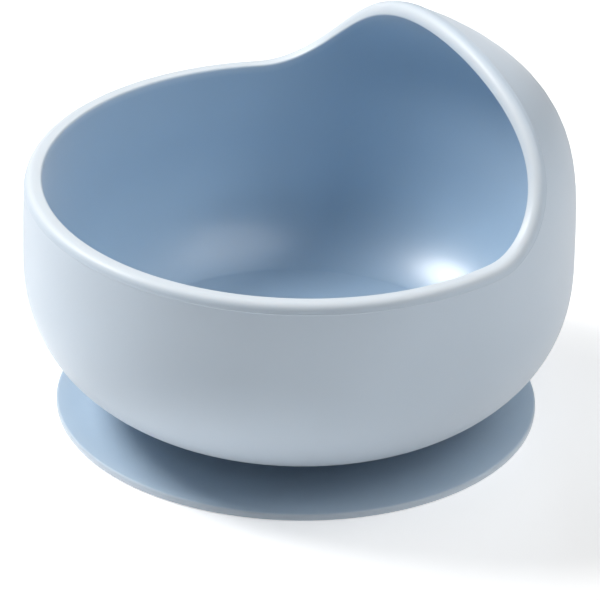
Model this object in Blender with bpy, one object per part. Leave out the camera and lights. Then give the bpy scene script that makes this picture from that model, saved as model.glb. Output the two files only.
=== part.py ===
"""Suction bowl: a hooded silicone feeding bowl on a thin, flexible suction foot.

Frame: +Z is up and the hood stands at +Y. The origin is the middle of the face that the foot rests on.
Lengths are metres. Angles are radians, unless a name ends in _DEG.
"""
import math

import bmesh
import bpy
from mathutils import Vector

# ---- Bowl wall -------------------------------------------------------------------------------------------
BOWL_RADIUS = 0.0650        # outside, at the widest height
WIDEST_HEIGHT = 0.0404      # height of the widest circle
WALL = 0.0040               # wall thickness, square to the surface
LOWER_ROUND = 2.81          # exponents of the wall's curve below the widest height: across, then up
LOWER_SQUARE = 2.31
UPPER_ROUND = 1.35          # the same above the widest height, where the wall closes over as a hood
UPPER_SQUARE = 4.14
CROWN_ABOVE_RIM = 0.0402    # how far above the level rim the wall's curve would close
KEEL_HEIGHT = 0.0008        # where it would close below, if the underside didn't cut it off
UNDERSIDE_BLEND = 0.0025    # height of the arc that turns the wall into the flat underside

# ---- Rim, as seen from the side: level, then an elliptical sweep up to the hood's top ---------------------
RIM_HEIGHT = 0.0602         # height of the level part
SWEEP_START = 0.0189        # how far behind the middle the sweep begins
SWEEP_REACH = 0.0188        # how much further back the sweep goes before it stands upright
SWEEP_RISE = 0.0236         # height of that upright point above the level rim
RIM_OUTER_ROUND = 0.0021    # radius of the rim's outer edge
RIM_INNER_ROUND = 0.0006    # radius of the rim's inner edge

# ---- Suction foot ----------------------------------------------------------------------------------------
FOOT_RADIUS = 0.0572
FOOT_EDGE = 0.0018          # thickness at the edge
FOOT_HOLLOW = 0.0026        # depth of the shallow hollow under the foot
FOOT_WEB = 0.0018           # thickness over the middle of the hollow
HOLLOW_POWER = 1.5          # power of the hollow's curve, which leaves the sealing ring level
SEAL_WIDTH = 0.0070         # flat ring that seals on the table
HUB_MARGIN = 0.0020         # flat top of the foot beyond the bowl's collar
EDGE_ROUND = 0.0006         # small radii on the foot and the tab

# ---- Stud on the foot and its socket under the bowl ------------------------------------------------------
COLLAR_RADIUS = 0.0290      # outside of the ring under the bowl
STEM_RADIUS = 0.0090
HEAD_RADIUS = 0.0140
HEAD_HEIGHT = 0.0024
HEAD_SIDE = 0.0008          # upright part of the head's side
HEAD_TAPER = 0.0030         # how much smaller the head is at its top
LIP_HEIGHT = 0.0020         # undercut lip that holds the head
FLOOR_OVER_SOCKET = 0.0023  # bowl floor left above the socket
GAP = 0.0003                # clearance between neighbouring pieces

# ---- Pull tab --------------------------------------------------------------------------------------------
TAB_WIDTH = 0.0160
TAB_REACH = 0.0072          # how far the tab stands out from the foot's edge
TAB_THICKNESS = 0.0015
TAB_CORNER = 0.0055         # corner radius at its tip

# ---- Fineness --------------------------------------------------------------------------------------------
AROUND = 72                 # columns around the turned pieces
WALL_ROWS = 13              # rows up each side of the wall
WALL_CROWDING = 1.25        # power that crowds the rows towards the bottom, where the wall turns most
ARC_ROWS = 4                # rows in a rounded edge
FOOT_ROWS = 7               # rows across the foot's hollow, and down its top
STUD_AROUND = 48
SMOOTH_ANGLE = math.radians(35)
SLOPE_STEP = 1e-5           # height step that the wall's slope is taken over
HALVINGS = 48               # steps of a search by halving
SWEEP_STEPS = 8             # steps of the search for the nearest point of the sweep
NEARLY_ALL = 0.999          # searches stop this share of the way up, just under the wall's closing point
MERGE_DISTANCE = 1e-6

# ---- Sizes that follow from the ones above ---------------------------------------------------------------
HUB_TOP = FOOT_HOLLOW + FOOT_WEB
COLLAR_BOTTOM = HUB_TOP + GAP
LIP_TOP = COLLAR_BOTTOM + LIP_HEIGHT
SOCKET_TOP = LIP_TOP + HEAD_HEIGHT + 2 * GAP
FLOOR_HEIGHT = SOCKET_TOP + FLOOR_OVER_SOCKET
UNDERSIDE_HEIGHT = FLOOR_HEIGHT - WALL
CROWN_HEIGHT = RIM_HEIGHT + CROWN_ABOVE_RIM
HUB_RADIUS = COLLAR_RADIUS + HUB_MARGIN
TAB_ROOT = FOOT_RADIUS + GAP
TAB_PIVOT = Vector((0.0, TAB_ROOT, FOOT_EDGE))


def clear_scene():
    """Remove every object of the open file."""
    for thing in list(bpy.data.objects):
        bpy.data.objects.remove(thing, do_unlink=True)


def silicone(name, colour, roughness):
    """Make a matt silicone material with its own colour and roughness."""
    material = bpy.data.materials.new(name)
    material.use_nodes = True
    shader = material.node_tree.nodes["Principled BSDF"]
    shader.inputs["Base Color"].default_value = (*colour, 1.0)
    shader.inputs["Roughness"].default_value = roughness
    shader.inputs["Metallic"].default_value = 0.0
    return material


def finish_object(name, bm, material, location=(0.0, 0.0, 0.0), parent=None):
    """Turn a bmesh into a smooth-shaded object with one material."""
    bmesh.ops.recalc_face_normals(bm, faces=bm.faces)
    mesh = bpy.data.meshes.new(name)
    bm.to_mesh(mesh)
    bm.free()
    mesh.shade_smooth()
    mesh.set_sharp_from_angle(angle=SMOOTH_ANGLE)
    mesh.materials.append(material)
    thing = bpy.data.objects.new(name, mesh)
    bpy.context.collection.objects.link(thing)
    thing.location = location
    thing.parent = parent
    return thing


def joint_empty(name, location):
    """Place an empty on a joint's axis, for the moving pieces to hang from."""
    empty = bpy.data.objects.new(name, None)
    bpy.context.collection.objects.link(empty)
    empty.location = location
    empty.empty_display_size = 0.01
    return empty


# ---- The turned surface of the bowl's wall ---------------------------------------------------------------
def wall_radius(height):
    """Outer radius of the wall at a height, from two superellipse quarters that meet at the widest circle."""
    rise = height - WIDEST_HEIGHT
    if rise < 0.0:
        depth, across, up = WIDEST_HEIGHT - KEEL_HEIGHT, LOWER_ROUND, LOWER_SQUARE
    else:
        depth, across, up = CROWN_HEIGHT - WIDEST_HEIGHT, UPPER_ROUND, UPPER_SQUARE
    return BOWL_RADIUS * (1.0 - (abs(rise) / depth) ** up) ** (1.0 / across)


def wall_slope(height):
    """Change of the outer radius with height."""
    above, below = wall_radius(height + SLOPE_STEP), wall_radius(height - SLOPE_STEP)
    return (above - below) / (2 * SLOPE_STEP)


def wall_normal(azimuth, height):
    """Outward unit normal of the wall's outer surface."""
    slope = wall_slope(height)
    return Vector((math.cos(azimuth), math.sin(azimuth), -slope)).normalized()


def wall_point(azimuth, height, depth=0.0):
    """Point on the wall's outer surface, or so deep under it along the normal."""
    radius = wall_radius(height)
    surface = Vector((radius * math.cos(azimuth), radius * math.sin(azimuth), height))
    return surface - depth * wall_normal(azimuth, height)


def rim_outline(y, z):
    """Nearest point of the rim's side outline, and the outline's unit normal there, away from the bowl."""
    if y <= SWEEP_START:
        return (y, RIM_HEIGHT), (0.0, 1.0)
    across, up = y - SWEEP_START, z - RIM_HEIGHT - SWEEP_RISE
    turn = math.atan2(across / SWEEP_REACH, -up / SWEEP_RISE)
    for _ in range(SWEEP_STEPS):
        foot = (SWEEP_REACH * math.sin(turn), -SWEEP_RISE * math.cos(turn))
        along = (SWEEP_REACH * math.cos(turn), SWEEP_RISE * math.sin(turn))
        off = (across - foot[0], up - foot[1])
        miss = off[0] * along[0] + off[1] * along[1]
        speed = along[0] ** 2 + along[1] ** 2 + off[0] * foot[0] + off[1] * foot[1]
        turn += miss / speed
    size = math.hypot(*along)
    return (SWEEP_START + foot[0], RIM_HEIGHT + SWEEP_RISE + foot[1]), (-along[1] / size, along[0] / size)


def depth_below_outline(point):
    """How far a point lies on the bowl's side of the rim's side outline."""
    foot, normal = rim_outline(point.y, point.z)
    return (foot[0] - point.y) * normal[0] + (foot[1] - point.z) * normal[1]


def ball_height(azimuth, depth, radius):
    """Wall height at which a ball, centred so deep in the wall, touches the rim's face. Found by halving."""
    low, high = WIDEST_HEIGHT, CROWN_HEIGHT * NEARLY_ALL
    for _ in range(HALVINGS):
        middle = (low + high) / 2
        if depth_below_outline(wall_point(azimuth, middle, depth)) > radius:
            low = middle
        else:
            high = middle
    return low


def rim_arc_ring(azimuths, depth, radius, outward, share):
    """Ring of a rounded rim edge, a share of the way from the wall's surface round to the rim's face."""
    ring = []
    for azimuth in azimuths:
        height = ball_height(azimuth, depth, radius)
        centre = wall_point(azimuth, height, depth)
        _, face = rim_outline(centre.y, centre.z)
        start = outward * wall_normal(azimuth, height)
        ring.append(centre + radius * start.slerp(Vector((0.0, *face)), share))
    return ring


def wall_ring(azimuths, share, low_height, ball_depth, ball_radius, depth):
    """Ring on the wall, a share of the way from a low height up to the start of the rim's rounding."""
    ring = []
    for azimuth in azimuths:
        top = ball_height(azimuth, ball_depth, ball_radius)
        ring.append(wall_point(azimuth, low_height + share * (top - low_height), depth))
    return ring


def flat_ring(azimuths, radius, height):
    """Plain circle around the axis."""
    return [Vector((radius * math.cos(a), radius * math.sin(a), height)) for a in azimuths]


def inner_start_height():
    """Outer height whose inner wall point lies at the floor's height, found by halving."""
    low, high = UNDERSIDE_HEIGHT / 2, WIDEST_HEIGHT
    for _ in range(HALVINGS):
        middle = (low + high) / 2
        if wall_point(0.0, middle, WALL).z < FLOOR_HEIGHT:
            low = middle
        else:
            high = middle
    return high


def underside_blend(azimuths):
    """Rings of the arc that leaves the wall at its own slope and ends level at the underside."""
    top = UNDERSIDE_HEIGHT + UNDERSIDE_BLEND
    angle = math.atan2(1.0, wall_slope(top))
    radius = UNDERSIDE_BLEND / (1.0 - math.cos(angle))
    centre = wall_radius(top) - radius * math.sin(angle)
    rings = []
    for row in range(ARC_ROWS, -1, -1):
        turn = angle * row / ARC_ROWS
        reach = centre + radius * math.sin(turn)
        rings.append(flat_ring(azimuths, reach, UNDERSIDE_HEIGHT + radius * (1.0 - math.cos(turn))))
    return rings


def bowl_rings(azimuths):
    """All rings of the bowl, from its floor over the rim and down to the top of the socket."""
    rise = [(row / WALL_ROWS) ** WALL_CROWDING for row in range(WALL_ROWS + 1)]
    inner_ball = (WALL - RIM_INNER_ROUND, RIM_INNER_ROUND)
    outer_ball = (RIM_OUTER_ROUND, RIM_OUTER_ROUND)
    floor_start = inner_start_height()
    blend_top = UNDERSIDE_HEIGHT + UNDERSIDE_BLEND
    rings = [wall_ring(azimuths, share, floor_start, *inner_ball, WALL) for share in rise]
    rings += [rim_arc_ring(azimuths, *inner_ball, -1.0, share) for share in (0.5, 1.0)]
    rings += [rim_arc_ring(azimuths, *outer_ball, 1.0, 1.0 - row / ARC_ROWS) for row in range(ARC_ROWS + 1)]
    rings += [wall_ring(azimuths, share, blend_top, *outer_ball, 0.0) for share in reversed(rise[1:-1])]
    rings += underside_blend(azimuths)
    rings.append(flat_ring(azimuths, COLLAR_RADIUS, UNDERSIDE_HEIGHT))
    rings.append(flat_ring(azimuths, COLLAR_RADIUS, COLLAR_BOTTOM))
    rings.append(flat_ring(azimuths, STEM_RADIUS + GAP, COLLAR_BOTTOM))
    rings.append(flat_ring(azimuths, STEM_RADIUS + GAP, LIP_TOP))
    rings.append(flat_ring(azimuths, HEAD_RADIUS + GAP, LIP_TOP))
    rings.append(flat_ring(azimuths, HEAD_RADIUS + GAP, SOCKET_TOP))
    return rings


def loft(rings):
    """Join rings of equal length with quads and close both ends with a flat face."""
    bm = bmesh.new()
    loops = [[bm.verts.new(point) for point in ring] for ring in rings]
    for lower, upper in zip(loops, loops[1:]):
        for k, vert in enumerate(lower):
            after = (k + 1) % len(lower)
            bm.faces.new((vert, lower[after], upper[after], upper[k]))
    bm.faces.new(loops[0])
    bm.faces.new(loops[-1])
    return bm


def turn_profile(profile, steps):
    """Spin a closed half-outline, given as radius and height, once around the Z axis."""
    bm = bmesh.new()
    verts = [bm.verts.new((radius, 0.0, height)) for radius, height in profile]
    edges = [bm.edges.new(pair) for pair in zip(verts, verts[1:])]
    bmesh.ops.spin(bm, geom=verts + edges, cent=(0, 0, 0), axis=(0, 0, 1), angle=2 * math.pi, steps=steps,
                   use_merge=True, use_normal_flip=False, use_duplicate=False)
    bmesh.ops.remove_doubles(bm, verts=bm.verts, dist=MERGE_DISTANCE)
    return bm


def rounded_corner(radius, height, size, start_deg, end_deg):
    """Points of a quarter arc around a centre, from one angle to another."""
    points = []
    for row in range(ARC_ROWS + 1):
        turn = math.radians(start_deg + (end_deg - start_deg) * row / ARC_ROWS)
        points.append((radius + size * math.cos(turn), height + size * math.sin(turn)))
    return points


# ---- The pieces ------------------------------------------------------------------------------------------
def make_bowl(parent):
    """The bowl with its hooded rim, and the socket under its floor."""
    azimuths = [2 * math.pi * k / AROUND for k in range(AROUND)]
    material = silicone("bowl_silicone", (0.50, 0.60, 0.72), 0.45)
    return finish_object("bowl_shell", loft(bowl_rings(azimuths)), material, parent=parent)


def make_stud(parent):
    """The foot's stem and mushroom head, held behind the lip of the bowl's socket."""
    head_bottom = LIP_TOP + GAP
    head_top = head_bottom + HEAD_HEIGHT
    profile = [
        (0.0, COLLAR_BOTTOM),
        (STEM_RADIUS, COLLAR_BOTTOM),
        (STEM_RADIUS, head_bottom),
        (HEAD_RADIUS, head_bottom),
        (HEAD_RADIUS, head_bottom + HEAD_SIDE),
        (HEAD_RADIUS - HEAD_TAPER, head_top),
        (0.0, head_top),
    ]
    material = silicone("stud_silicone", (0.44, 0.55, 0.68), 0.50)
    return finish_object("foot_stud", turn_profile(profile, STUD_AROUND), material, parent=parent)


def foot_top(share):
    """Height of the foot's top between its edge, share 0, and its hub, share 1."""
    eased = share * share * (3.0 - 2.0 * share)
    return FOOT_EDGE + (HUB_TOP - FOOT_EDGE) * eased


def make_foot():
    """The thin suction disc: flat sealing ring, shallow hollow under it, a slope up to its flat hub."""
    seal_inner = FOOT_RADIUS - SEAL_WIDTH
    profile = []
    for row in range(FOOT_ROWS + 1):
        share = row / FOOT_ROWS
        profile.append((seal_inner * share, FOOT_HOLLOW * (1.0 - share ** 2) ** HOLLOW_POWER))
    profile += rounded_corner(FOOT_RADIUS - EDGE_ROUND, EDGE_ROUND, EDGE_ROUND, -90.0, 0.0)
    profile += rounded_corner(FOOT_RADIUS - EDGE_ROUND, FOOT_EDGE - EDGE_ROUND, EDGE_ROUND, 0.0, 90.0)
    slope_start = FOOT_RADIUS - SEAL_WIDTH / 2
    for row in range(FOOT_ROWS + 1):
        share = row / FOOT_ROWS
        profile.append((slope_start + share * (HUB_RADIUS - slope_start), foot_top(share)))
    profile.append((0.0, HUB_TOP))
    material = silicone("foot_silicone", (0.44, 0.55, 0.68), 0.48)
    return finish_object("suction_foot", turn_profile(profile, AROUND), material)


def tab_outline():
    """Plan of the pull tab: a root that follows the foot's edge, straight sides and a rounded tip."""
    half = TAB_WIDTH / 2
    reach = FOOT_RADIUS + TAB_REACH
    root_angle = math.asin(half / TAB_ROOT)
    points = []
    for row in range(-ARC_ROWS, ARC_ROWS + 1):
        turn = math.pi / 2 - root_angle * row / ARC_ROWS
        points.append((TAB_ROOT * math.cos(turn), TAB_ROOT * math.sin(turn)))
    for side, start_deg in ((1.0, 0.0), (-1.0, 90.0)):
        corner = (side * (half - TAB_CORNER), reach - TAB_CORNER)
        points += rounded_corner(*corner, TAB_CORNER, start_deg, start_deg + 90.0)
    return [Vector((x, y, FOOT_EDGE)) - TAB_PIVOT for x, y in points]


def make_tab(parent):
    """The pull tab that lifts the edge of the foot."""
    bm = bmesh.new()
    top = bm.faces.new([bm.verts.new(point) for point in tab_outline()])
    pushed = bmesh.ops.extrude_face_region(bm, geom=[top])
    lower = [item for item in pushed["geom"] if isinstance(item, bmesh.types.BMVert)]
    bmesh.ops.translate(bm, verts=lower, vec=(0.0, 0.0, -TAB_THICKNESS))
    material = silicone("tab_silicone", (0.44, 0.55, 0.68), 0.48)
    return finish_object("pull_tab", bm, material, parent=parent)


def main():
    """Build the whole bowl."""
    clear_scene()
    press_axis = joint_empty("press_axis", (0.0, 0.0, 0.0))
    tab_axis = joint_empty("tab_axis", TAB_PIVOT)
    make_bowl(press_axis)
    make_stud(press_axis)
    make_foot()
    make_tab(tab_axis)


main()
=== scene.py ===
"""Visual model of a toddler's suction bowl: a hooded silicone bowl on a thin, flexible suction foot.

Frame: +Z is up, the hood stands at +Y, and the origin is the middle of the face that the foot rests on.
Lengths are metres. Angles are degrees where a name ends in _deg, and radians elsewhere.
"""
import logging
import math
from collections.abc import Callable, Mapping, Sequence
from dataclasses import dataclass, field
from enum import Enum

import bmesh
import bpy
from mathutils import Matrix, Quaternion, Vector
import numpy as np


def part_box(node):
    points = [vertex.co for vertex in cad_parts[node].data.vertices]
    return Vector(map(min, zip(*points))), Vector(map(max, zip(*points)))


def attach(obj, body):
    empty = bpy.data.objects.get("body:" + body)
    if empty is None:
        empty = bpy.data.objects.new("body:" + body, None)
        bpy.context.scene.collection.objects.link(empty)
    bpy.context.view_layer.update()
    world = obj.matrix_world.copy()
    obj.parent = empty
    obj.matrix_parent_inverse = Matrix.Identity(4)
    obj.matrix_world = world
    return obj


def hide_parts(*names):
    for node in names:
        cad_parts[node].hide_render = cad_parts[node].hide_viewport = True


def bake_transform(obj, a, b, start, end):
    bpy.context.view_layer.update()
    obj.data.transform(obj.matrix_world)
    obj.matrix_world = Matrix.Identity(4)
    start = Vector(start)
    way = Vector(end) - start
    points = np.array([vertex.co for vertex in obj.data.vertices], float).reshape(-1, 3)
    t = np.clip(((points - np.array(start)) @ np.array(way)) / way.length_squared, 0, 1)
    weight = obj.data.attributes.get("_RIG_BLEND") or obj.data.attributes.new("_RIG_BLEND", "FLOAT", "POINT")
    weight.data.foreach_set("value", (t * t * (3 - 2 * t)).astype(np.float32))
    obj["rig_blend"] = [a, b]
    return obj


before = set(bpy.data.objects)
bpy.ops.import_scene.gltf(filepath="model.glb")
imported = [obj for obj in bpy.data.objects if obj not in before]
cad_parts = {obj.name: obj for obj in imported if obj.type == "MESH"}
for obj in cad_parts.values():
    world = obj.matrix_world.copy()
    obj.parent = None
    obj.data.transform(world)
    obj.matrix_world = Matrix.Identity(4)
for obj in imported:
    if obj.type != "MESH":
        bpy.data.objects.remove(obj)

LOG = logging.getLogger("suction_bowl")
MILLIMETRE = 0.001
MERGE_DISTANCE = 1e-6
SMOOTH_ANGLE = math.radians(40)
SLOPE_STEP = 0.01 * MILLIMETRE
NEARLY_HALF = 0.49          # of a strip's width, to tell its own faces from its neighbours'
HALVINGS = 40               # steps of a search by halving
SWEEP_STEPS = 8             # steps of the search for the nearest point of the rim's sweep


class Body(Enum):
    """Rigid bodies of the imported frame."""

    FOOT = "foot"
    BOWL = "bowl"
    TAB = "tab"


class Slot(Enum):
    """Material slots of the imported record."""

    BOWL = "bowl_silicone"
    FOOT = "foot_silicone"


class Mark(Enum):
    """Point attributes that tell a finish where it is on a piece."""

    INSIDE = "inside"       # 1 on the glossier skin that touches food or the table; it also takes the darker, bluer colour that paints the shade inside the hollow
    EDGE = "edge"           # 1 on a rounded edge, where the mould's skin is thinnest; there the colour is paler, a painted highlight of the lit rim and painted light through the thin skin


# ---- Small modelling helpers -----------------------------------------------------------------------------
def deselect_everything() -> None:
    """Leave edit mode and deselect every object, so that an operator acts on the new piece alone."""
    if bpy.context.object and bpy.context.object.mode != "OBJECT":
        bpy.ops.object.mode_set(mode="OBJECT")
    bpy.ops.object.select_all(action="DESELECT")


def settle(name: str) -> bpy.types.Object:
    """Name the active object and put its place, turn and scale into its mesh.

    Args:
        name: The piece's name.

    Returns:
        The active object, at the origin.
    """
    thing = bpy.context.active_object
    thing.name = name
    thing.data.name = name
    bpy.ops.object.transform_apply(location=True, rotation=True, scale=True)
    return thing


def select_edges(thing: bpy.types.Object, wanted: Callable[[Vector, Vector], bool]) -> int:
    """Select the edges of the piece in edit mode whose two ends pass a test, and no others.

    Args:
        thing: The piece, in edit mode.
        wanted: Test on the places of an edge's two ends.

    Returns:
        How many edges are selected.
    """
    bpy.ops.mesh.select_mode(type="EDGE")
    bpy.ops.mesh.select_all(action="DESELECT")
    mesh = bmesh.from_edit_mesh(thing.data)
    found = [edge for edge in mesh.edges if wanted(edge.verts[0].co, edge.verts[1].co)]
    for edge in found:
        edge.select_set(True)
    bmesh.update_edit_mesh(thing.data)
    return len(found)


def select_faces(thing: bpy.types.Object, wanted: Callable[[Vector, Vector], bool]) -> None:
    """Select the faces of the piece in edit mode whose middle and normal pass a test, and no others.

    Args:
        thing: The piece, in edit mode.
        wanted: Test on a face's middle and its normal.
    """
    bpy.ops.mesh.select_mode(type="FACE")
    bpy.ops.mesh.select_all(action="DESELECT")
    mesh = bmesh.from_edit_mesh(thing.data)
    for face in mesh.faces:
        if wanted(face.calc_center_bounds(), face.normal):
            face.select_set(True)
    bmesh.update_edit_mesh(thing.data)


def mend() -> None:
    """Merge doubles and point all faces of the piece in edit mode outwards."""
    bpy.ops.mesh.select_mode(type="VERT")
    bpy.ops.mesh.select_all(action="SELECT")
    bpy.ops.mesh.remove_doubles(threshold=MERGE_DISTANCE)
    bpy.ops.mesh.normals_make_consistent(inside=False)


def smooth(thing: bpy.types.Object) -> None:
    """Shade a piece smooth except over its sharp edges."""
    deselect_everything()
    thing.select_set(True)
    bpy.context.view_layer.objects.active = thing
    bpy.ops.object.shade_smooth_by_angle(angle=SMOOTH_ANGLE)


def mark_points(thing: bpy.types.Object, mark: Mark, rule: Callable[[Vector], float]) -> None:
    """Store a value from 0 to 1 on each point of a finished mesh.

    Args:
        thing: The piece.
        mark: Which attribute to write.
        rule: The value for a point's place.
    """
    attribute = thing.data.attributes.new(mark.value, "FLOAT", "POINT")
    attribute.data.foreach_set("value", [rule(vert.co) for vert in thing.data.vertices])


def fade(value: float, start: float, end: float) -> float:
    """Smooth step from 0 at start to 1 at end."""
    share = min(max((value - start) / (end - start), 0.0), 1.0)
    return share * share * (3.0 - 2.0 * share)


def arc(centre: tuple[float, float], size: float, start_deg: float, end_deg: float,
        rows: int) -> list[tuple[float, float]]:
    """Points of an arc in the half-section, as radius and height.

    Args:
        centre: The arc's centre, as radius and height.
        size: The arc's radius.
        start_deg: Angle of its first point, from the outward direction.
        end_deg: Angle of its last point.
        rows: How many steps it has.

    Returns:
        One point more than it has steps.
    """
    points = []
    for row in range(rows + 1):
        turn = math.radians(start_deg + (end_deg - start_deg) * row / rows)
        points.append((centre[0] + size * math.cos(turn), centre[1] + size * math.sin(turn)))
    return points


def turned(name: str, outline: Sequence[tuple[float, float]], around: int) -> bpy.types.Object:
    """Extrude one point along a half-section and spin it once around the Z axis.

    Args:
        name: The piece's name.
        outline: Radius and height of each point, from the axis round to the axis again.
        around: How many steps the spin has.

    Returns:
        The turned piece, closed, with its normals outwards.
    """
    deselect_everything()
    radius, height = outline[0]
    bpy.ops.mesh.primitive_plane_add(size=MILLIMETRE, location=(radius, 0.0, height))
    thing = settle(name)
    bpy.ops.object.mode_set(mode="EDIT")
    bpy.ops.mesh.merge(type="CENTER")
    for (radius, height), (next_radius, next_height) in zip(outline, outline[1:]):
        step = (next_radius - radius, 0.0, next_height - height)
        bpy.ops.mesh.extrude_region_move(TRANSFORM_OT_translate={"value": step})
    bpy.ops.mesh.select_all(action="SELECT")
    bpy.ops.mesh.spin(steps=around, angle=math.tau, center=(0.0, 0.0, 0.0), axis=(0.0, 0.0, 1.0))
    mend()
    bpy.ops.object.mode_set(mode="OBJECT")
    return thing


def round_rings(thing: bpy.types.Object, rings: Sequence[tuple[float, float]], size: float,
                segments: int) -> None:
    """Bevel whole rings of edges on a turned piece.

    Args:
        thing: The turned piece.
        rings: Radius and height of each ring.
        size: Width of the bevel.
        segments: How many steps the bevel has.
    """
    def on_ring(one: Vector, other: Vector) -> bool:
        """Tell whether an edge lies along one of the rings."""
        return any(all(math.hypot(end.xy.length - radius, end.z - height) < 10 * MERGE_DISTANCE
                       for end in (one, other)) for radius, height in rings)

    deselect_everything()
    bpy.context.view_layer.objects.active = thing
    bpy.ops.object.mode_set(mode="EDIT")
    count = select_edges(thing, on_ring)
    bpy.ops.mesh.bevel(offset=size, offset_type="OFFSET", segments=segments, affect="EDGES")
    mend()
    bpy.ops.object.mode_set(mode="OBJECT")
    LOG.debug("%s: bevelled %d edges", thing.name, count)


@dataclass
class Ring:
    """One ring of points around a piece, with its marks."""

    points: list[Vector]
    inside: float = 0.0
    edge: float = 0.0


class RingExtruder:
    """A filled circle that is extruded from ring to ring, each ring going to its own points."""

    def __init__(self, name: str, first: Ring) -> None:
        """Add the circle that the skin starts from.

        Args:
            name: The piece's name.
            first: A level, round ring, with its first point at +X.
        """
        deselect_everything()
        start = first.points[0]
        bpy.ops.mesh.primitive_circle_add(vertices=len(first.points), radius=start.x, fill_type="TRIFAN",
                                          location=(0.0, 0.0, start.z))
        self.thing = settle(name)
        self.around = len(first.points)
        bpy.ops.object.mode_set(mode="EDIT")
        bpy.ops.mesh.select_mode(type="VERT")
        mesh = bmesh.from_edit_mesh(self.thing.data)
        mesh.verts.layers.int.new("column")
        for mark in Mark:
            mesh.verts.layers.float.new(mark.value)
        column = mesh.verts.layers.int["column"]
        inside = mesh.verts.layers.float[Mark.INSIDE.value]
        for vert in mesh.verts:
            turn = math.atan2(vert.co.y, vert.co.x) / math.tau
            vert[column] = round(turn * self.around) % self.around
            vert[inside] = first.inside
            vert.select_set(vert.co.xy.length > start.x / 2)
        mesh.select_flush_mode()
        bmesh.update_edit_mesh(self.thing.data)

    def add(self, ring: Ring) -> None:
        """Extrude the last ring and move the new points to their places."""
        bpy.ops.mesh.extrude_region_move(TRANSFORM_OT_translate={"value": (0.0, 0.0, 0.0)})
        mesh = bmesh.from_edit_mesh(self.thing.data)
        column = mesh.verts.layers.int["column"]
        inside = mesh.verts.layers.float[Mark.INSIDE.value]
        edge = mesh.verts.layers.float[Mark.EDGE.value]
        for vert in mesh.verts:
            if vert.select:
                vert.co = ring.points[vert[column]]
                vert[inside] = ring.inside
                vert[edge] = ring.edge
        bmesh.update_edit_mesh(self.thing.data)

    def close(self) -> bpy.types.Object:
        """Close the last ring with a fan of faces.

        Returns:
            The closed piece, with its normals outwards.
        """
        bpy.ops.mesh.extrude_region_move(TRANSFORM_OT_translate={"value": (0.0, 0.0, 0.0)})
        bpy.ops.mesh.merge(type="CENTER")
        mend()
        bpy.ops.object.mode_set(mode="OBJECT")
        self.thing.data.attributes.remove(self.thing.data.attributes["column"])
        return self.thing


# ---- Shader helpers --------------------------------------------------------------------------------------
class Wire:
    """A socket's value on its way through a material. Arithmetic on it adds Math nodes."""

    def __init__(self, sheet: "ShaderSheet", socket: bpy.types.NodeSocket) -> None:
        """Remember the sheet and the socket."""
        self.sheet = sheet
        self.socket = socket

    def _math(self, operation: str, left: "Wire | float", right: "Wire | float") -> "Wire":
        """Join two values with a Math node."""
        return self.sheet.node("ShaderNodeMath", {"operation": operation}, {0: left, 1: right})

    def __add__(self, other: "Wire | float") -> "Wire":
        """Sum."""
        return self._math("ADD", self, other)

    def __radd__(self, other: float) -> "Wire":
        """Sum with a number on the left."""
        return self._math("ADD", other, self)

    def __sub__(self, other: "Wire | float") -> "Wire":
        """Difference."""
        return self._math("SUBTRACT", self, other)

    def __rsub__(self, other: float) -> "Wire":
        """Difference from a number."""
        return self._math("SUBTRACT", other, self)

    def __mul__(self, other: "Wire | float") -> "Wire":
        """Product."""
        return self._math("MULTIPLY", self, other)

    def __rmul__(self, other: float) -> "Wire":
        """Product with a number on the left."""
        return self._math("MULTIPLY", other, self)

    def __truediv__(self, other: "Wire | float") -> "Wire":
        """Quotient."""
        return self._math("DIVIDE", self, other)

    def __rtruediv__(self, other: float) -> "Wire":
        """Quotient of a number."""
        return self._math("DIVIDE", other, self)


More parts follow.
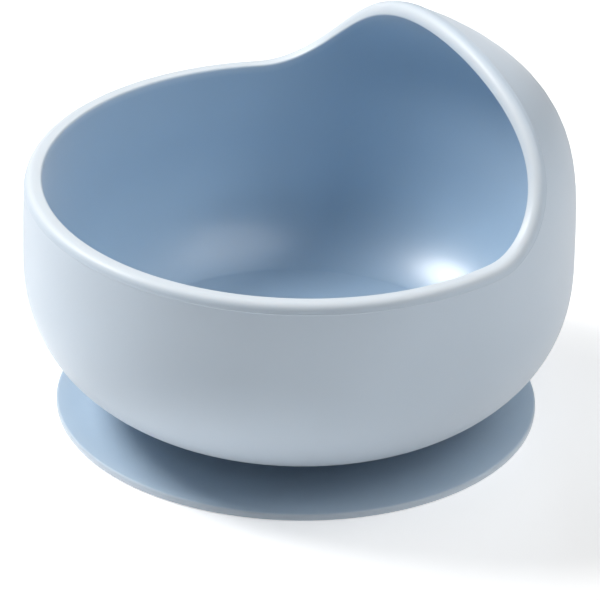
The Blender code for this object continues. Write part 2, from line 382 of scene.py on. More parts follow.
class ShaderSheet:
    """A new material whose only shader is a Principled BSDF, and the nodes that feed it."""

    def __init__(self, name: str) -> None:
        """Make the material, with its shader and its output alone."""
        self.material = bpy.data.materials.new(name)
        self.material.use_nodes = True
        self.tree = self.material.node_tree
        self.shader = self.tree.nodes["Principled BSDF"]

    def _plug(self, socket: bpy.types.NodeSocket, value: object) -> None:
        """Link a wire to a socket, or set the socket's own value."""
        if isinstance(value, Wire):
            self.tree.links.new(value.socket, socket)
        elif isinstance(value, (tuple, list)) and len(value) == 3 and socket.type == "RGBA":
            socket.default_value = (*value, 1.0)
        else:
            socket.default_value = value

    def node(self, kind: str, settings: Mapping[str, object] | None = None,
             inputs: Mapping[int | str, object] | None = None, output: int | str = 0) -> Wire:
        """Add a node.

        Args:
            kind: The node's type.
            settings: Its properties, set before its sockets. "stops" gives a ramp's places and colours.
            inputs: A value or a wire for each socket, by name or number.
            output: Which output the wire comes from.

        Returns:
            The wire from that output.
        """
        node = self.tree.nodes.new(kind)
        for name, value in (settings or {}).items():
            if name == "stops":
                self._set_stops(node.color_ramp, value)
            else:
                setattr(node, name, value)
        for key, value in (inputs or {}).items():
            self._plug(node.inputs[key], value)
        return Wire(self, node.outputs[output])

    def _set_stops(self, ramp: bpy.types.ColorRamp, stops: Sequence[tuple[float, float]]) -> None:
        """Give a ramp its stops, each a place and a grey level."""
        while len(ramp.elements) < len(stops):
            ramp.elements.new(1.0)
        for element, (place, level) in zip(ramp.elements, stops):
            element.position = place
            element.color = (level, level, level, 1.0)

    def noise(self, size: float, detail: float = 2.0, stretch: Vector | None = None) -> Wire:
        """Cloudy noise from 0 to 1 in the piece's own place.

        Args:
            size: About how many metres a patch is across.
            detail: How many finer layers it has.
            stretch: How much the pattern is squeezed along each axis.

        Returns:
            The noise.
        """
        place = self.node("ShaderNodeTexCoord", output="Object")
        if stretch:
            place = self.node("ShaderNodeMapping", {"vector_type": "POINT"}, {0: place, "Scale": stretch})
        return self.node("ShaderNodeTexNoise", {"noise_dimensions": "3D"},
                         {"Vector": place, "Scale": 1.0 / size, "Detail": detail, "Roughness": 0.55})

    def mark(self, mark: Mark) -> Wire:
        """A piece's own point attribute."""
        return self.node("ShaderNodeAttribute", {"attribute_name": mark.value}, output="Fac")

    def ramp(self, value: Wire, stops: Sequence[tuple[float, float]]) -> Wire:
        """A value read through a ramp of grey levels."""
        return self.node("ShaderNodeValToRGB", {"stops": stops}, {"Fac": value})

    def mix(self, share: Wire | float, first: object, second: object) -> Wire:
        """A colour between two others."""
        return self.node("ShaderNodeMix", {"data_type": "RGBA"}, {0: share, 6: first, 7: second}, output=2)

    def shade(self, colour: Wire, grey: Wire) -> Wire:
        """A colour darkened by a grey level."""
        return self.node("ShaderNodeVectorMath", {"operation": "MULTIPLY"}, {0: colour, 1: grey})

    def bump(self, height: Wire, depth: float) -> Wire:
        """A bumped normal, from a height of 0 to 1 over so many metres."""
        return self.node("ShaderNodeBump", None, {"Height": height, "Distance": depth, "Strength": 1.0},
                         output="Normal")

    def feed(self, **inputs: object) -> None:
        """Set or link the shader's own sockets. An underscore in a name stands for a space."""
        for name, value in inputs.items():
            self._plug(self.shader.inputs[name.replace("_", " ")], value)


# ---- Finishes --------------------------------------------------------------------------------------------
@dataclass(frozen=True)
class SiliconeFinish:
    """Coloured food-grade silicone, with the mould's fine grain outside and its polish inside."""

    name: str
    grained_and_lit: tuple[float, float, float]         # paler colour on the matt grain: the grain's own white scatter, and painted light of the brightly lit outside
    polished_and_shaded: tuple[float, float, float]        # darker, bluer colour on the smooth skin: the silicone's own colour under the polish, and painted shade of the hollow inside
    edge: tuple[float, float, float]            # paler colour on rounded edges: painted highlight of the brightly lit rim, and painted light passing through a thin edge
    clouding: float = 0.95                      # how dark the pigment is where it is densest
    rough_outside: float = 0.55
    rough_inside: float = 0.46
    gloss: float = 0.75                         # share of the clear skin that polish leaves inside
    gloss_rough: float = 0.26
    grain_size: float = 0.35 * MILLIMETRE
    grain_depth: float = 0.012 * MILLIMETRE
    swell_size: float = 9 * MILLIMETRE          # slow waviness that the soft skin keeps after moulding
    swell_depth: float = 0.030 * MILLIMETRE
    cloud_size: float = 34 * MILLIMETRE
    smear_size: float = 16 * MILLIMETRE
    dust_size: float = 1.9 * MILLIMETRE
    skin_depth: float = 1.6 * MILLIMETRE        # how far light travels under the surface
    skin_share: float = 0.14
    skin_bleed: tuple[float, float, float] = (0.7, 0.9, 1.0)
    edge_highlight_share: float = 0.80                    # how much of the painted, paler edge colour a thin edge takes
    edge_rough: float = 0.10
    smear_outside: float = 0.10                 # how much the roughness wanders on the grain
    smear_drop: float = 0.075                   # and how much less on the polish
    dust_colour: tuple[float, float, float] = (0.80, 0.82, 0.84)
    dust_share: float = 0.30
    dust_wiped: float = 0.80                    # share of the dust that the polish doesn't hold
    dust_rough: float = 0.10
    grain_polished: float = 0.75                # share of the grain that the polish takes away
    index: float = 1.41                         # of refraction
    specular: float = 0.80
    sheen: float = 0.50
    sheen_rough: float = 0.50

    def material(self) -> bpy.types.Material:
        """Build the material's nodes."""
        sheet = ShaderSheet(self.name)
        inside, edge = sheet.mark(Mark.INSIDE), sheet.mark(Mark.EDGE)
        cloud = sheet.noise(self.cloud_size, 1.0)
        smear = sheet.noise(self.smear_size, 2.0, Vector((1.0, 1.0, 1.7)))
        dust = self._dust(sheet)
        # Darker, bluer colour inside and paler outside: partly the silicone's own colour, partly painted shade
        # inside and painted light outside.
        body = sheet.mix(inside, self.grained_and_lit, self.polished_and_shaded)
        pigment_and_painted_light = sheet.shade(body, sheet.ramp(cloud, [(0.30, 1.0), (0.70, self.clouding)]))
        # Rounded edges turn paler: a painted highlight of the lit rim and painted light through the thin skin.
        skin = sheet.mix(edge * self.edge_highlight_share, pigment_and_painted_light, self.edge)
        held = dust * (1.0 - self.dust_wiped * inside)
        dust_and_painted_light = sheet.mix(held * self.dust_share, skin, self.dust_colour)
        level = self.rough_outside + inside * (self.rough_inside - self.rough_outside)
        uneven = (smear - 0.5) * (self.smear_outside - self.smear_drop * inside)
        rough = level + uneven + dust * self.dust_rough + edge * self.edge_rough
        sheet.feed(Base_Color=dust_and_painted_light, Roughness=rough, Normal=self._normal(sheet, inside),
                   IOR=self.index, Specular_IOR_Level=self.specular,
                   Coat_Weight=inside * self.gloss, Coat_Roughness=self.gloss_rough,
                   Subsurface_Weight=self.skin_share, Subsurface_Scale=self.skin_depth,
                   Subsurface_Radius=self.skin_bleed, Sheen_Weight=self.sheen,
                   Sheen_Roughness=self.sheen_rough)
        return sheet.material

    def _dust(self, sheet: ShaderSheet) -> Wire:
        """Sparse, fine specks of lint that silicone draws to itself."""
        place = sheet.node("ShaderNodeTexCoord", output="Object")
        spot = sheet.node("ShaderNodeTexVoronoi", {"feature": "F1"},
                          {"Vector": place, "Scale": 1.0 / self.dust_size, "Randomness": 1.0})
        rare = sheet.ramp(sheet.noise(self.smear_size * 0.6, 3.0), [(0.52, 0.0), (0.70, 1.0)])
        return sheet.ramp(spot, [(0.05, 1.0), (0.12, 0.0)]) * rare

    def _normal(self, sheet: ShaderSheet, inside: Wire) -> Wire:
        """Fine grain outside, and the same slow waviness everywhere."""
        grain = sheet.noise(self.grain_size, 2.0) * (1.0 - self.grain_polished * inside) * self.grain_depth
        swell = sheet.noise(self.swell_size, 2.0) * self.swell_depth
        return sheet.bump((grain + swell) / self.swell_depth, self.swell_depth)


# Each finish lists its outside colour (partly painted light), its inside colour (partly painted shade) and its
# paler edge colour (painted highlight and light through thin skin).
BOWL_FINISH = SiliconeFinish("bowl_silicone_skin", (0.590, 0.690, 0.795), (0.440, 0.600, 0.760),
                             (0.780, 0.835, 0.880))
FOOT_FINISH = SiliconeFinish("foot_silicone_skin", (0.465, 0.600, 0.735), (0.430, 0.560, 0.700),
                             (0.620, 0.695, 0.775), rough_outside=0.48, rough_inside=0.22)


# ---- The bowl's turned wall and the rim's side outline ----------------------------------------------------
@dataclass(frozen=True)
class WallCurve:
    """Outer surface of the wall: two superellipse quarters that meet at the widest circle."""

    radius: float
    crown_height: float                         # where the curve would close above
    widest_height: float = 0.0404
    keel_height: float = 0.0008                 # where it would close below
    lower_round: float = 2.81
    lower_square: float = 2.31
    upper_round: float = 1.35
    upper_square: float = 4.14

    def reach(self, height: float) -> float:
        """Outer radius at a height."""
        rise = height - self.widest_height
        if rise < 0.0:
            depth, across, up = self.widest_height - self.keel_height, self.lower_round, self.lower_square
        else:
            depth, across, up = self.crown_height - self.widest_height, self.upper_round, self.upper_square
        return self.radius * (1.0 - (abs(rise) / depth) ** up) ** (1.0 / across)

    def slope(self, height: float) -> float:
        """Change of the outer radius with height."""
        return (self.reach(height + SLOPE_STEP) - self.reach(height - SLOPE_STEP)) / (2 * SLOPE_STEP)

    def normal(self, azimuth: float, height: float) -> Vector:
        """Outward unit normal."""
        return Vector((math.cos(azimuth), math.sin(azimuth), -self.slope(height))).normalized()

    def point(self, azimuth: float, height: float, depth: float = 0.0) -> Vector:
        """Point on the outer surface, or so deep under it along the normal."""
        reach = self.reach(height)
        surface = Vector((reach * math.cos(azimuth), reach * math.sin(azimuth), height))
        return surface - depth * self.normal(azimuth, height)


@dataclass(frozen=True)
class RimOutline:
    """The rim from the side: level in front, then an elliptical sweep up to the top of the hood."""

    level: float = 0.0602
    sweep_start: float = 0.0189                 # how far behind the middle the sweep begins
    sweep_reach: float = 0.0188                 # how much further back it goes before it stands upright
    sweep_rise: float = 0.0236                  # height of that upright point above the level part

    def nearest(self, y: float, z: float) -> tuple[tuple[float, float], tuple[float, float]]:
        """Nearest point of the outline, and the outline's unit normal there, away from the bowl."""
        if y <= self.sweep_start:
            return (y, self.level), (0.0, 1.0)
        across, up = y - self.sweep_start, z - self.level - self.sweep_rise
        turn = math.atan2(across / self.sweep_reach, -up / self.sweep_rise)
        for _ in range(SWEEP_STEPS):
            foot = (self.sweep_reach * math.sin(turn), -self.sweep_rise * math.cos(turn))
            along = (self.sweep_reach * math.cos(turn), self.sweep_rise * math.sin(turn))
            off = (across - foot[0], up - foot[1])
            miss = off[0] * along[0] + off[1] * along[1]
            turn += miss / (along[0] ** 2 + along[1] ** 2 + off[0] * foot[0] + off[1] * foot[1])
        size = math.hypot(*along)
        place = (self.sweep_start + foot[0], self.level + self.sweep_rise + foot[1])
        return place, (-along[1] / size, along[0] / size)

    def depth_below(self, point: Vector) -> float:
        """How far a point lies on the bowl's side of the outline."""
        foot, normal = self.nearest(point.y, point.z)
        return (foot[0] - point.y) * normal[0] + (foot[1] - point.z) * normal[1]


@dataclass(frozen=True)
class RimEdge:
    """One rounded edge of the rim: a ball that rolls along between the wall and the rim's face."""

    depth: float                                # of the ball's centre under the outer surface
    radius: float
    outward: float                              # 1 for the outer edge and -1 for the inner edge
    heights: list[float] = field(default_factory=list)      # of the ball at each azimuth

    def settle(self, azimuths: Sequence[float], wall: WallCurve, outline: RimOutline) -> None:
        """Find the ball's wall height at each azimuth by halving."""
        for azimuth in azimuths:
            low, high = wall.widest_height, wall.crown_height - 0.1 * MILLIMETRE
            for _ in range(HALVINGS):
                middle = (low + high) / 2
                if outline.depth_below(wall.point(azimuth, middle, self.depth)) > self.radius:
                    low = middle
                else:
                    high = middle
            self.heights.append(low)

    def arc_ring(self, azimuths: Sequence[float], wall: WallCurve, outline: RimOutline,
                 share: float) -> list[Vector]:
        """Ring of the rounded edge, a share of the way from the wall's surface round to the rim's face."""
        ring = []
        for azimuth, height in zip(azimuths, self.heights):
            centre = wall.point(azimuth, height, self.depth)
            _, face = outline.nearest(centre.y, centre.z)
            start = self.outward * wall.normal(azimuth, height)
            ring.append(centre + self.radius * start.slerp(Vector((0.0, *face)), share))
        return ring


# ---- Sub-assemblies --------------------------------------------------------------------------------------
@dataclass
class BowlShell:
    """The bowl: hooded wall with a rolled rim, flat floor, and the socket for the foot's stud underneath."""

    wall_thickness: float = 4.0 * MILLIMETRE
    outer_round: float = 2.1 * MILLIMETRE
    inner_round: float = 0.6 * MILLIMETRE
    crown_above_rim: float = 40.2 * MILLIMETRE
    floor_height: float = 12.0 * MILLIMETRE
    underside_height: float = 8.0 * MILLIMETRE
    underside_blend: float = 2.5 * MILLIMETRE
    floor_crease: float = 0.45 * MILLIMETRE     # how far the floor's crease is softened each way
    seam_below_round: float = 0.3 * MILLIMETRE  # the mould's parting line under the rim
    seam_width: float = 0.42 * MILLIMETRE
    seam_height: float = 0.10 * MILLIMETRE
    collar_radius: float = 29.0 * MILLIMETRE
    collar_round: float = 0.5 * MILLIMETRE
    neck_radius: float = 9.3 * MILLIMETRE
    head_radius: float = 14.3 * MILLIMETRE
    lip_height: float = 2.0 * MILLIMETRE
    socket_top: float = 9.7 * MILLIMETRE
    around: int = 256
    wall_rows: int = 40
    arc_rows: int = 10
    floor_rows: int = 6
    collar_rows: int = 4
    crowding: float = 1.4                       # power that crowds the wall's rows towards the floor

    def __post_init__(self) -> None:
        """Take the outer size from the frame and find where the rim's edges lie."""
        low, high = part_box("bowl_shell")
        self.collar_bottom = low.z
        self.outline = RimOutline()
        self.wall = WallCurve(high.x, self.outline.level + self.crown_above_rim)
        self.azimuths = [math.tau * k / self.around for k in range(self.around)]
        self.outer_edge = RimEdge(self.outer_round, self.outer_round, 1.0)
        self.inner_edge = RimEdge(self.wall_thickness - self.inner_round, self.inner_round, -1.0)
        for rim_edge in (self.outer_edge, self.inner_edge):
            rim_edge.settle(self.azimuths, self.wall, self.outline)

    def build(self) -> bpy.types.Object:
        """Model the bowl as one closed skin and put it in the place of its CAD node."""
        rings = self._floor() + self._inner_wall() + self._rim() + self._outer_wall() + self._underside()
        skin = RingExtruder("bowl", rings[0])
        for ring in rings[1:]:
            skin.add(ring)
        bowl = skin.close()
        smooth(bowl)
        bowl.data.materials.append(BOWL_FINISH.material())
        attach(bowl, Body.BOWL.value)
        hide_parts("bowl_shell")
        return bowl

    def _flat(self, radius: float, height: float, inside: float = 0.0, edge: float = 0.0) -> Ring:
        """Level circle around the axis."""
        points = [Vector((radius * math.cos(a), radius * math.sin(a), height)) for a in self.azimuths]
        return Ring(points, inside, edge)

    def _wall_foot(self) -> float:
        """Outer height whose inner wall point lies at the floor's height."""
        low, high = self.underside_height / 2, self.wall.widest_height
        for _ in range(HALVINGS):
            middle = (low + high) / 2
            if self.wall.point(0.0, middle, self.wall_thickness).z < self.floor_height:
                low = middle
            else:
                high = middle
        return high

    def _floor(self) -> list[Ring]:
        """Flat floor from the middle out to the crease, whose own points lie on a short curve."""
        foot = self._wall_foot()
        corner = self.wall.point(0.0, foot, self.wall_thickness)
        above = self.wall.point(0.0, foot + self.floor_crease, self.wall_thickness)
        before = Vector((corner.x - self.floor_crease, 0.0, self.floor_height))
        after = corner + (above - corner).normalized() * self.floor_crease
        rings = [self._flat(before.x * row / self.floor_rows, self.floor_height, 1.0)
                 for row in range(1, self.floor_rows + 1)]
        for share in (0.25, 0.5, 0.75):
            spot = before.lerp(corner, share).lerp(corner.lerp(after, share), share)
            rings.append(self._flat(spot.x, spot.z, 1.0))
        return rings

    def _wall_ring(self, heights: Sequence[float], depth: float, inside: float, edge: float = 0.0) -> Ring:
        """Ring on the wall at its own outer height for each azimuth."""
        points = [self.wall.point(a, height, depth) for a, height in zip(self.azimuths, heights)]
        return Ring(points, inside, edge)

    def _inner_wall(self) -> list[Ring]:
        """Inner wall from the crease up to the rim's inner edge, with rows crowded near the floor."""
        foot = self._wall_foot() + self.floor_crease
        rings = []
        for row in range(self.wall_rows + 1):
            share = (row / self.wall_rows) ** self.crowding
            heights = [foot + share * (top - foot) for top in self.inner_edge.heights]
            # The top rows start the rim's painted highlight through the edge mark.
            rings.append(self._wall_ring(heights, self.wall_thickness, 1.0, fade(share, 0.97, 1.0) * 0.5))
        return rings

    def _rim(self) -> list[Ring]:
        """Small inner round, the rim's face, and the large outer round, whose edge mark gives the lit rim a
        painted highlight.
        """
        rings = []
        for row in range(1, self.arc_rows // 2 + 1):
            share = row / (self.arc_rows // 2)
            ring = self.inner_edge.arc_ring(self.azimuths, self.wall, self.outline, share)
            rings.append(Ring(ring, 1.0 - 0.6 * share, 0.5 + 0.5 * share))
        for row in range(self.arc_rows + 1):
            share = row / self.arc_rows
            ring = self.outer_edge.arc_ring(self.azimuths, self.wall, self.outline, 1.0 - share)
            rings.append(Ring(ring, 0.4 * (1.0 - share), 1.0 - fade(share, 0.3, 1.0)))
        return rings

    def _outer_wall(self) -> list[Ring]:
        """Parting line under the rim, then the outer wall down to the start of the underside's blend."""
        rings = []
        tops = self.outer_edge.heights
        for across in (-0.5, -0.25, 0.0, 0.25, 0.5):
            raised = self.seam_height * (1.0 - (2.0 * across) ** 2)
            drop = self.seam_below_round + across * self.seam_width
            rings.append(self._wall_ring([top - drop for top in tops], -raised, 0.0, 0.0))
        drop = self.seam_below_round + self.seam_width
        foot = self.underside_height + self.underside_blend
        for row in range(self.wall_rows):
            share = (1.0 - row / self.wall_rows) ** self.crowding
            heights = [foot + share * (top - drop - foot) for top in tops]
            rings.append(self._wall_ring(heights, 0.0, 0.0))
        return rings

    def _underside(self) -> list[Ring]:
        """Arc into the flat underside, the collar, and the socket with its undercut lip."""
        top = self.underside_height + self.underside_blend
        angle = math.atan2(1.0, self.wall.slope(top))
        size = self.underside_blend / (1.0 - math.cos(angle))
        centre = self.wall.reach(top) - size * math.sin(angle)
        rings = []
        for row in range(self.arc_rows, -1, -1):
            turn = angle * row / self.arc_rows
            height = self.underside_height + size * (1.0 - math.cos(turn))
            rings.append(self._flat(centre + size * math.sin(turn), height))
        fillet = (self.collar_radius + self.collar_round, self.underside_height - self.collar_round)
        corner = (self.collar_radius - self.collar_round, self.collar_bottom + self.collar_round)
        rings += [self._flat(*spot) for spot in arc(fillet, self.collar_round, 90.0, 180.0, self.collar_rows)]
        rings += [self._flat(*spot) for spot in arc(corner, self.collar_round, 0.0, -90.0, self.collar_rows)]
        lip_top = self.collar_bottom + self.lip_height
        for spot in ((self.neck_radius, self.collar_bottom), (self.neck_radius, lip_top),
                     (self.head_radius, lip_top), (self.head_radius, self.socket_top)):
            rings.append(self._flat(*spot))
        return rings


@dataclass
class FootStud:
    """The stem and mushroom head that the bowl's socket holds."""

    stem_radius: float = 9.0 * MILLIMETRE
    stem_height: float = 2.3 * MILLIMETRE
    head_side: float = 0.8 * MILLIMETRE
    head_taper: float = 3.0 * MILLIMETRE
    edge_round: float = 0.35 * MILLIMETRE
    edge_rows: int = 3
    around: int = 96

    def build(self) -> bpy.types.Object:
        """Turn the stud and put it in the place of its CAD node."""
        low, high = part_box("foot_stud")
        shoulder = low.z + self.stem_height
        side_top = shoulder + self.head_side
        outline = [(0.0, low.z), (self.stem_radius, low.z), (self.stem_radius, shoulder), (high.x, shoulder),
                   (high.x, side_top), (high.x - self.head_taper, high.z), (0.0, high.z)]
        stud = turned("stud", outline, self.around)
        round_rings(stud, [(high.x, shoulder), (high.x, side_top), (high.x - self.head_taper, high.z)],
                    self.edge_round, self.edge_rows)
        mark_points(stud, Mark.INSIDE, lambda place: 0.0)
        # The edge mark pales the head's rounded edge with painted light through the thin skin.
        mark_points(stud, Mark.EDGE, lambda place: fade(place.xy.length, self.stem_radius, high.x))
        smooth(stud)
        stud.data.materials.append(FOOT_FINISH.material())
        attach(stud, Body.BOWL.value)
        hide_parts("foot_stud")
        return stud


@dataclass
class SuctionFoot:
    """The thin suction disc, which bends between its edge on the table and its hub under the bowl."""

    edge_thickness: float = 1.8 * MILLIMETRE
    hollow: float = 2.6 * MILLIMETRE
    hollow_power: float = 1.5
    seal_width: float = 7.0 * MILLIMETRE
    hub_radius: float = 31.0 * MILLIMETRE
    edge_round: float = 0.5 * MILLIMETRE
    gate_radius: float = 1.6 * MILLIMETRE       # mark of the mould's gate, in the middle of the hollow
    gate_height: float = 0.25 * MILLIMETRE
    gate_slope: float = 0.2 * MILLIMETRE
    polish_near: float = 0.3 * MILLIMETRE       # above the hollow's skin, where the polish starts to fade
    polish_far: float = 1.2 * MILLIMETRE
    edge_pale: float = 1.4                      # how far in the edge's mark reaches, in edge rounds
    bend_start: float = 1.2 * MILLIMETRE        # height below which the disc stays on the table
    around: int = 256
    rows: int = 28
    arc_rows: int = 6

    def _outline(self, radius: float, hub_top: float) -> list[tuple[float, float]]:
        """Half-section from the middle of the hollow along the seal, round the edge and up to the hub."""
        seal_inner = radius - self.seal_width
        roof = self.hollow - self.gate_height
        outline = [(0.0, roof), (self.gate_radius - self.gate_slope, roof), (self.gate_radius, self.hollow)]
        first = self.gate_radius / seal_inner
        for row in range(1, self.rows + 1):
            share = first + (1.0 - first) * row / self.rows
            roof = self.hollow * max(1.0 - share ** 2, 0.0) ** self.hollow_power
            outline.append((seal_inner * share, roof))
        low = (radius - self.edge_round, self.edge_round)
        high = (radius - self.edge_round, self.edge_thickness - self.edge_round)
        outline += arc(low, self.edge_round, -90.0, 0.0, self.arc_rows)
        outline += arc(high, self.edge_round, 0.0, 90.0, self.arc_rows)
        slope_start = radius - self.seal_width / 2
        for row in range(self.rows + 1):
            share = row / self.rows
            height = self.edge_thickness + (hub_top - self.edge_thickness) * fade(share, 0.0, 1.0)
            outline.append((slope_start + share * (self.hub_radius - slope_start), height))
        return [*outline, (0.0, hub_top)]

    def build(self) -> bpy.types.Object:
        """Turn the foot, put it in the place of its CAD node, and let it bend with the bowl."""
        _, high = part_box("suction_foot")
        foot = turned("foot", self._outline(high.x, high.z), self.around)
        seal_inner = high.x - self.seal_width
        pale = high.x - self.edge_pale * self.edge_round
        mark_points(foot, Mark.INSIDE, lambda place: self._polish(place, seal_inner))
        # The edge mark pales the disc's rounded edge with painted light through its thin skin.
        mark_points(foot, Mark.EDGE, lambda place: fade(place.xy.length, pale, high.x))
        smooth(foot)
        foot.data.materials.append(FOOT_FINISH.material())
        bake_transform(foot, Body.FOOT.value, Body.BOWL.value, (0.0, 0.0, self.bend_start), (0.0, 0.0, high.z))
        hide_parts("suction_foot")
        return foot

    def _polish(self, place: Vector, seal_inner: float) -> float:
        """1 on the polished underside and 0 on the matt top."""
        reach = min(place.xy.length / seal_inner, 1.0)
        roof = self.hollow * (1.0 - reach ** 2) ** self.hollow_power
        return 1.0 - fade(place.z - roof, self.polish_near, self.polish_far)


@dataclass
class PullTab:
    """The finger tab that breaks the seal, with three low grip ribs."""

    corner: float = 5.5 * MILLIMETRE
    corner_rows: int = 14
    overlap: float = 0.30 * MILLIMETRE          # how far its root reaches back to the foot's edge
    spare: float = 3.0 * MILLIMETRE             # cut off the root again
    cut_around: int = 512
    cut_depth: float = 20.0 * MILLIMETRE
    edge_round: float = 0.35 * MILLIMETRE
    edge_rows: int = 4
    rib_count: int = 3
    rib_first: float = 1.9 * MILLIMETRE
    rib_step: float = 1.55 * MILLIMETRE
    rib_width: float = 1.3 * MILLIMETRE
    rib_half: float = 6.2 * MILLIMETRE          # half of a rib's length, short of the rounded corners
    rib_inset: float = 0.28 * MILLIMETRE
    rib_height: float = 0.22 * MILLIMETRE

    def build(self) -> bpy.types.Object:
        """Model the tab and put it in the place of its CAD node."""
        low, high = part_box("pull_tab")
        foot_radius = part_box("suction_foot")[1].x
        tab = self._plate(low, high, foot_radius)
        self._cut_root(tab, foot_radius)
        self._finish_plate(tab, low, high, foot_radius)
        mark_points(tab, Mark.INSIDE, lambda place: 0.0)
        # The edge mark pales the tab's tip with painted light through the thin skin.
        mark_points(tab, Mark.EDGE, lambda place: fade(place.y, high.y - 3 * self.edge_round, high.y))
        smooth(tab)
        tab.data.materials.append(FOOT_FINISH.material())
        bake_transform(tab, Body.FOOT.value, Body.TAB.value, (0.0, foot_radius - self.overlap, high.z),
                 (0.0, foot_radius + 3 * self.overlap, high.z))
        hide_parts("pull_tab")
        return tab

    def _plate(self, low: Vector, high: Vector, foot_radius: float) -> bpy.types.Object:
        """Flat plate with its two outer corners rounded, long enough to be cut at its root."""
        root = foot_radius - self.spare
        deselect_everything()
        bpy.ops.mesh.primitive_cube_add(size=1.0, location=(0.0, (root + high.y) / 2, (low.z + high.z) / 2),
                                        scale=(high.x - low.x, high.y - root, high.z - low.z))
        tab = settle("tab")
        bpy.ops.object.mode_set(mode="EDIT")
        select_edges(tab, lambda one, other: (one.xy - other.xy).length < MERGE_DISTANCE
                     and one.y > high.y - MERGE_DISTANCE)
        bpy.ops.mesh.bevel(offset=self.corner, segments=self.corner_rows, affect="EDGES")
        bpy.ops.object.mode_set(mode="OBJECT")
        return tab

    def _cut_root(self, tab: bpy.types.Object, foot_radius: float) -> None:
        """Cut the root to the curve of the foot's edge."""
        deselect_everything()
        bpy.ops.mesh.primitive_cylinder_add(vertices=self.cut_around, radius=foot_radius - self.overlap,
                                            depth=self.cut_depth)
        cutter = settle("tab_cutter")
        modifier = tab.modifiers.new("root", "BOOLEAN")
        modifier.object = cutter
        modifier.operation = "DIFFERENCE"
        modifier.solver = "EXACT"
        bpy.context.view_layer.objects.active = tab
        bpy.ops.object.modifier_apply(modifier=modifier.name)
        bpy.data.objects.remove(cutter, do_unlink=True)

    def _finish_plate(self, tab: bpy.types.Object, low: Vector, high: Vector, foot_radius: float) -> None:
        """Raise the ribs on the top face and round the plate's edges."""
        deselect_everything()
        bpy.context.view_layer.objects.active = tab
        bpy.ops.object.mode_set(mode="EDIT")
        middles = [foot_radius + self.rib_first + k * self.rib_step for k in range(self.rib_count)]
        for middle in middles:
            for side in (-0.5, 0.5):
                bpy.ops.mesh.select_all(action="SELECT")
                bpy.ops.mesh.bisect(plane_co=(0.0, middle + side * self.rib_width, 0.0),
                                    plane_no=(0.0, 1.0, 0.0))
        for end in (-self.rib_half, self.rib_half):
            bpy.ops.mesh.select_all(action="SELECT")
            bpy.ops.mesh.bisect(plane_co=(end, 0.0, 0.0), plane_no=(1.0, 0.0, 0.0))
        for middle in middles:
            select_faces(tab, lambda place, normal: normal.z > 0.9 and place.z > high.z - MERGE_DISTANCE
                         and abs(place.y - middle) < self.rib_width * NEARLY_HALF
                         and abs(place.x) < self.rib_half * NEARLY_HALF)
            bpy.ops.mesh.inset(thickness=self.rib_inset)
            bpy.ops.mesh.extrude_region_move(TRANSFORM_OT_translate={"value": (0.0, 0.0, self.rib_height)})
            bpy.ops.mesh.inset(thickness=self.rib_inset / 2, depth=self.rib_height / 4)
        bpy.ops.mesh.select_mode(type="EDGE")
        bpy.ops.mesh.select_all(action="DESELECT")
        select_edges(tab, lambda one, other: self._on_border(one, other, low, high, foot_radius))
        bpy.ops.mesh.bevel(offset=self.edge_round, segments=self.edge_rows, affect="EDGES",
                           clamp_overlap=True)
        mend()
        bpy.ops.object.mode_set(mode="OBJECT")

    def _on_border(self, one: Vector, other: Vector, low: Vector, high: Vector, foot_radius: float) -> bool:
        """Tell whether an edge runs along the free border of the plate's top or bottom face."""
        def on_outline(place: Vector) -> bool:
            """Tell whether a place lies on the tab's sides or tip."""
            half = high.x
            past = place.y - (high.y - self.corner)
            if past <= 0.0:
                return abs(abs(place.x) - half) < 10 * MERGE_DISTANCE
            reach = math.hypot(max(abs(place.x) - (half - self.corner), 0.0), past)
            return abs(reach - self.corner) < 0.05 * MILLIMETRE

        level = abs(one.z - other.z) < MERGE_DISTANCE and (
            abs(one.z - high.z) < MERGE_DISTANCE or abs(one.z - low.z) < MERGE_DISTANCE)
        free = min(one.xy.length, other.xy.length) > foot_radius
        return level and free and on_outline(one) and on_outline(other)


# ---- Studio ----------------------------------------------------------------------------------------------
@dataclass(frozen=True)
class Lamp:
    """A soft round area lamp that points at the bowl."""

    name: str
    azimuth_deg: float                          # 0 stands at -Y and 90 at +X, like the camera's own
    elevation_deg: float
    size: float
    watts: float
    distance: float = 1.2

    def place(self, target: Vector) -> None:
        """Hang the lamp and turn it to a target."""
        data = bpy.data.lights.new(self.name, "AREA")
        data.shape = "DISK"
        data.size = self.size
        data.energy = self.watts
        lamp = bpy.data.objects.new(self.name, data)
        bpy.context.scene.collection.objects.link(lamp)
        lamp.location = target + direction(self.azimuth_deg, self.elevation_deg) * self.distance
        lamp.rotation_euler = (target - lamp.location).to_track_quat("-Z", "Y").to_euler()


def direction(azimuth_deg: float, elevation_deg: float) -> Vector:
    """Unit vector from the bowl towards a place around it."""
    turn, rise = math.radians(azimuth_deg), math.radians(elevation_deg)
    return Vector((math.sin(turn) * math.cos(rise), -math.cos(turn) * math.cos(rise), math.sin(rise)))


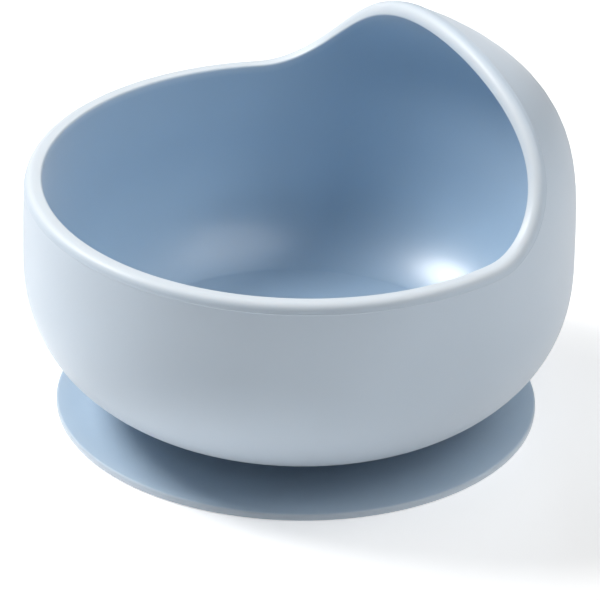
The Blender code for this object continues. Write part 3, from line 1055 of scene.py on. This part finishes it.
@dataclass
class Studio:
    """Pale floor, soft light and the camera."""

    camera_azimuth_deg: float = 62.12
    camera_elevation_deg: float = 28.97
    camera_distance: float = 1.40
    camera_roll_deg: float = 1.19
    aim_up: float = 24.2 * MILLIMETRE           # how far above the origin the camera aims, across its view
    aim_right: float = 1.0 * MILLIMETRE
    sensor: float = 36.0
    lens: float = 351.1
    floor_size: float = 8.0
    floor_glow: float = 0.20                    # light table under the pale floor
    floor_seen: float = 0.36                    # how bright the light table itself looks by the bowl
    floor_paint: tuple[float, float, float] = (0.94, 0.94, 0.94)
    floor_rough: float = 0.30
    floor_wander: float = 0.04                  # how much its roughness wanders
    fade_start: float = 0.08                    # where the floor starts to pass into the backdrop, and
    fade_end: float = 0.40                      # where it has, as shares of half its size
    sky: float = 0.05                           # light from all around
    backdrop: float = 0.95                      # brightness of the plain wall far behind
    target: Vector = field(default_factory=lambda: Vector((0.0, 0.0, 0.03)))
    lamps: tuple[Lamp, ...] = (
        Lamp("key", 300.0, 38.0, 0.50, 4.0),
        Lamp("sparkle", 315.0, 46.0, 0.42, 9.6),
        Lamp("left_fill", 330.0, 38.0, 0.50, 0.6),
        Lamp("back_fill", 150.0, 38.0, 1.20, 3.0),
        Lamp("right_top", 120.0, 62.0, 0.80, 3.8),
        Lamp("back_top", 180.0, 62.0, 0.80, 1.4),
    )

    def build(self) -> None:
        """Set up everything around the bowl."""
        self._floor()
        self._sky()
        for lamp in self.lamps:
            lamp.place(self.target)
        self._camera()
        bpy.context.scene.view_settings.view_transform = "Standard"

    def _floor(self) -> None:
        """A wide, plain, slightly glossy pale floor just under the foot."""
        deselect_everything()
        bpy.ops.mesh.primitive_plane_add(size=self.floor_size, location=(0.0, 0.0, -0.05 * MILLIMETRE))
        floor = settle("floor")
        sheet = ShaderSheet("floor_paint")
        cloud = sheet.noise(0.6, 2.0)
        place = sheet.node("ShaderNodeTexCoord", output="Object")
        away = sheet.node("ShaderNodeVectorMath", {"operation": "LENGTH"}, {0: place}, output="Value")
        far = sheet.ramp(away / (self.floor_size / 2),
                         [(self.fade_start, self.floor_seen), (self.fade_end, self.backdrop)])
        seen = sheet.node("ShaderNodeLightPath", output="Is Camera Ray")
        glow = sheet.mix(seen, (self.floor_glow, self.floor_glow, self.floor_glow), far)
        rough = self.floor_rough + (cloud - 0.5) * self.floor_wander
        sheet.feed(Base_Color=self.floor_paint, Roughness=rough, Emission_Color=glow, Emission_Strength=1.0)
        floor.data.materials.append(sheet.material)

    def _sky(self) -> None:
        """Even, weak white light from all around, with a pale backdrop where the floor ends."""
        world = bpy.data.worlds.new("studio")
        world.use_nodes = True
        tree = world.node_tree
        background = tree.nodes["Background"]
        background.inputs["Color"].default_value = (1.0, 1.0, 1.0, 1.0)
        seen = tree.nodes.new("ShaderNodeLightPath")
        level = tree.nodes.new("ShaderNodeMapRange")
        level.inputs["To Min"].default_value = self.sky
        level.inputs["To Max"].default_value = self.backdrop
        tree.links.new(seen.outputs["Is Camera Ray"], level.inputs["Value"])
        tree.links.new(level.outputs["Result"], background.inputs["Strength"])
        bpy.context.scene.world = world

    def _camera(self) -> None:
        """The camera, aimed a little above the middle of the foot and rolled slightly."""
        data = bpy.data.cameras.new("camera")
        data.sensor_width = self.sensor
        data.lens = self.lens
        data.clip_start = 0.01
        data.clip_end = 50.0
        camera = bpy.data.objects.new("camera", data)
        bpy.context.scene.collection.objects.link(camera)
        back = direction(self.camera_azimuth_deg, self.camera_elevation_deg)
        roll = Quaternion((0.0, 0.0, 1.0), math.radians(self.camera_roll_deg))
        level = (-back).to_track_quat("-Z", "Y") @ roll
        aim = level @ Vector((self.aim_right, self.aim_up, 0.0))
        camera.location = back * self.camera_distance
        gaze = aim - camera.location
        camera.rotation_mode = "QUATERNION"
        camera.rotation_quaternion = gaze.to_track_quat("-Z", "Y") @ roll
        bpy.context.scene.camera = camera


def report(piece: bpy.types.Object) -> None:
    """Log a finished piece's name and size."""
    size = piece.dimensions / MILLIMETRE
    LOG.info("%s: %d points, %.1f x %.1f x %.1f mm", piece.name, len(piece.data.vertices), *size)


def main() -> None:
    """Build every piece over the frame, then the studio."""
    logging.basicConfig(level=logging.INFO, format="%(name)s: %(message)s")
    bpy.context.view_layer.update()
    for part in (BowlShell(), FootStud(), SuctionFoot(), PullTab()):
        report(part.build())
    Studio().build()


if __name__ == "__main__":
    main()
